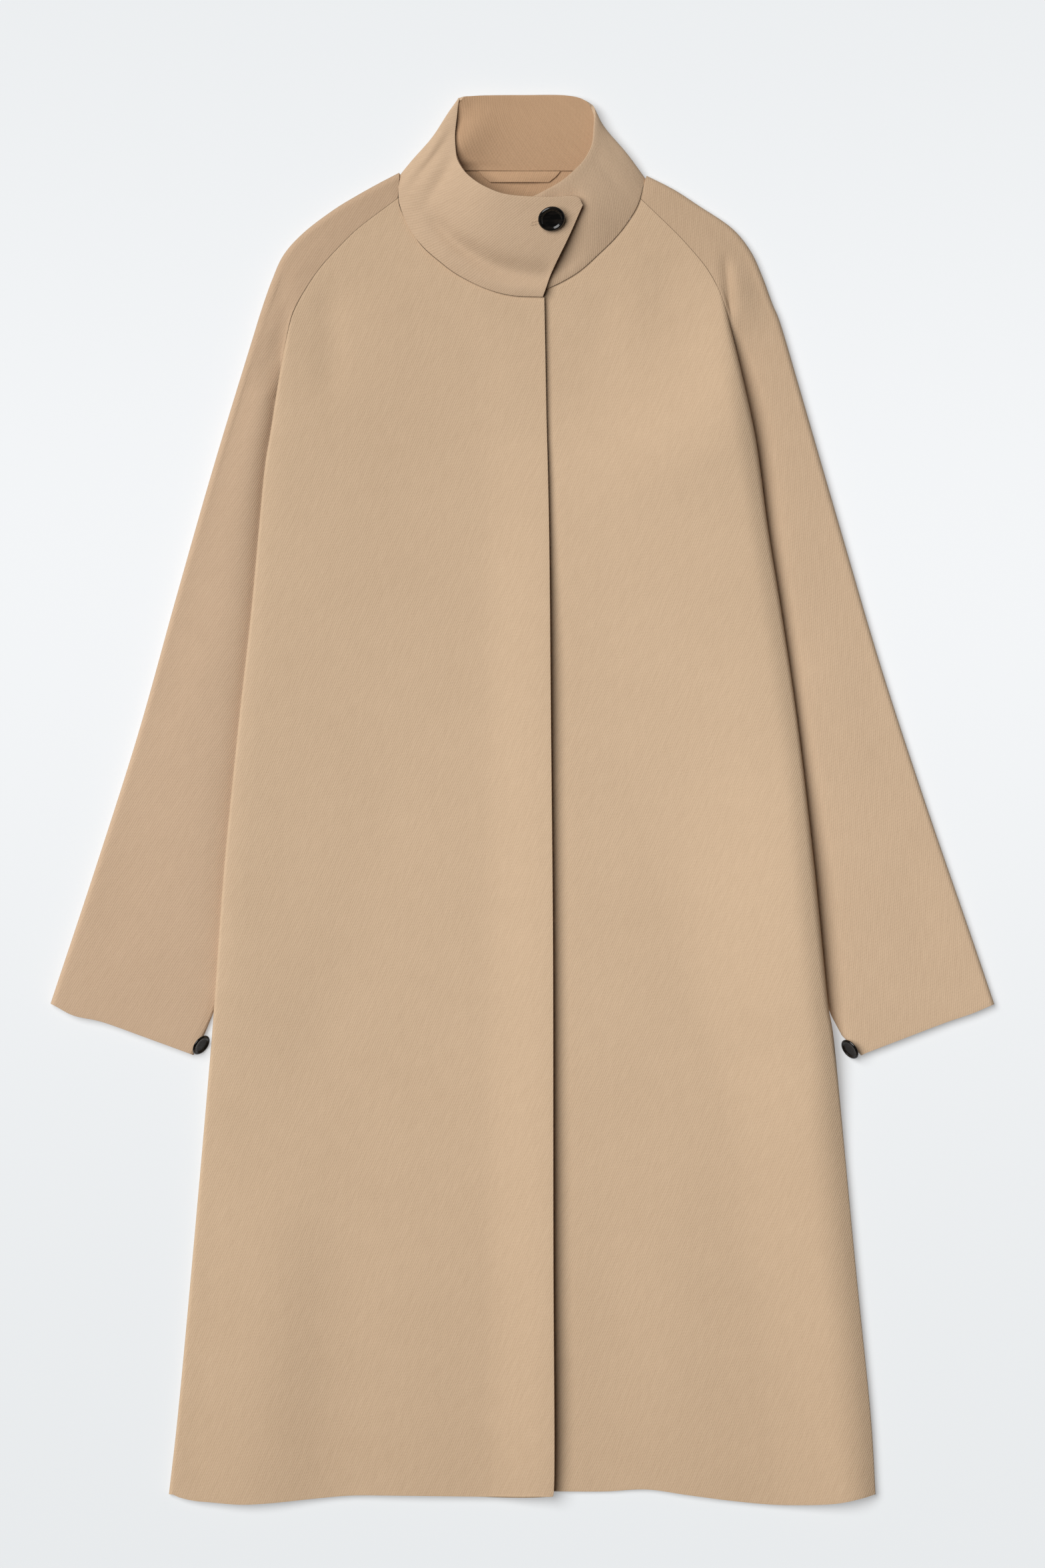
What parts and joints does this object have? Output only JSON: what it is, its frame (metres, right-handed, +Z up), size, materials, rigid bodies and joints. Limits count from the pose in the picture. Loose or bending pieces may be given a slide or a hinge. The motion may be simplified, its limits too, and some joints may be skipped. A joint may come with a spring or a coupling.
{
  "type": "a-line coat",
  "caption": "A-line wool twill coat laid flat, with raglan sleeves, tall lapped stand collar closed by a black button, hidden front fastening and buttoned cuffs.",
  "frame": {"origin": "centre of the plan outline, on the surface the coat lies on", "axes": "+Y towards the collar, +X towards the wearer's left side, +Z up off the surface with the coat's front facing up"},
  "size_m": [0.8026, 1.1998, 0.0463],
  "materials": {
    "coat_wool": "matt camel wool twill",
    "black_button": "polished black"
  },
  "bodies": {
    "root": {"back": "coat_wool", "front_right": "coat_wool", "front_left": "coat_wool", "sleeve_right": "coat_wool", "sleeve_left": "coat_wool", "collar": "coat_wool", "hanger_loop": "coat_wool", "button_collar": "black_button", "button_cuff_right": "black_button", "button_cuff_left": "black_button"}
  },
  "joints": []
}
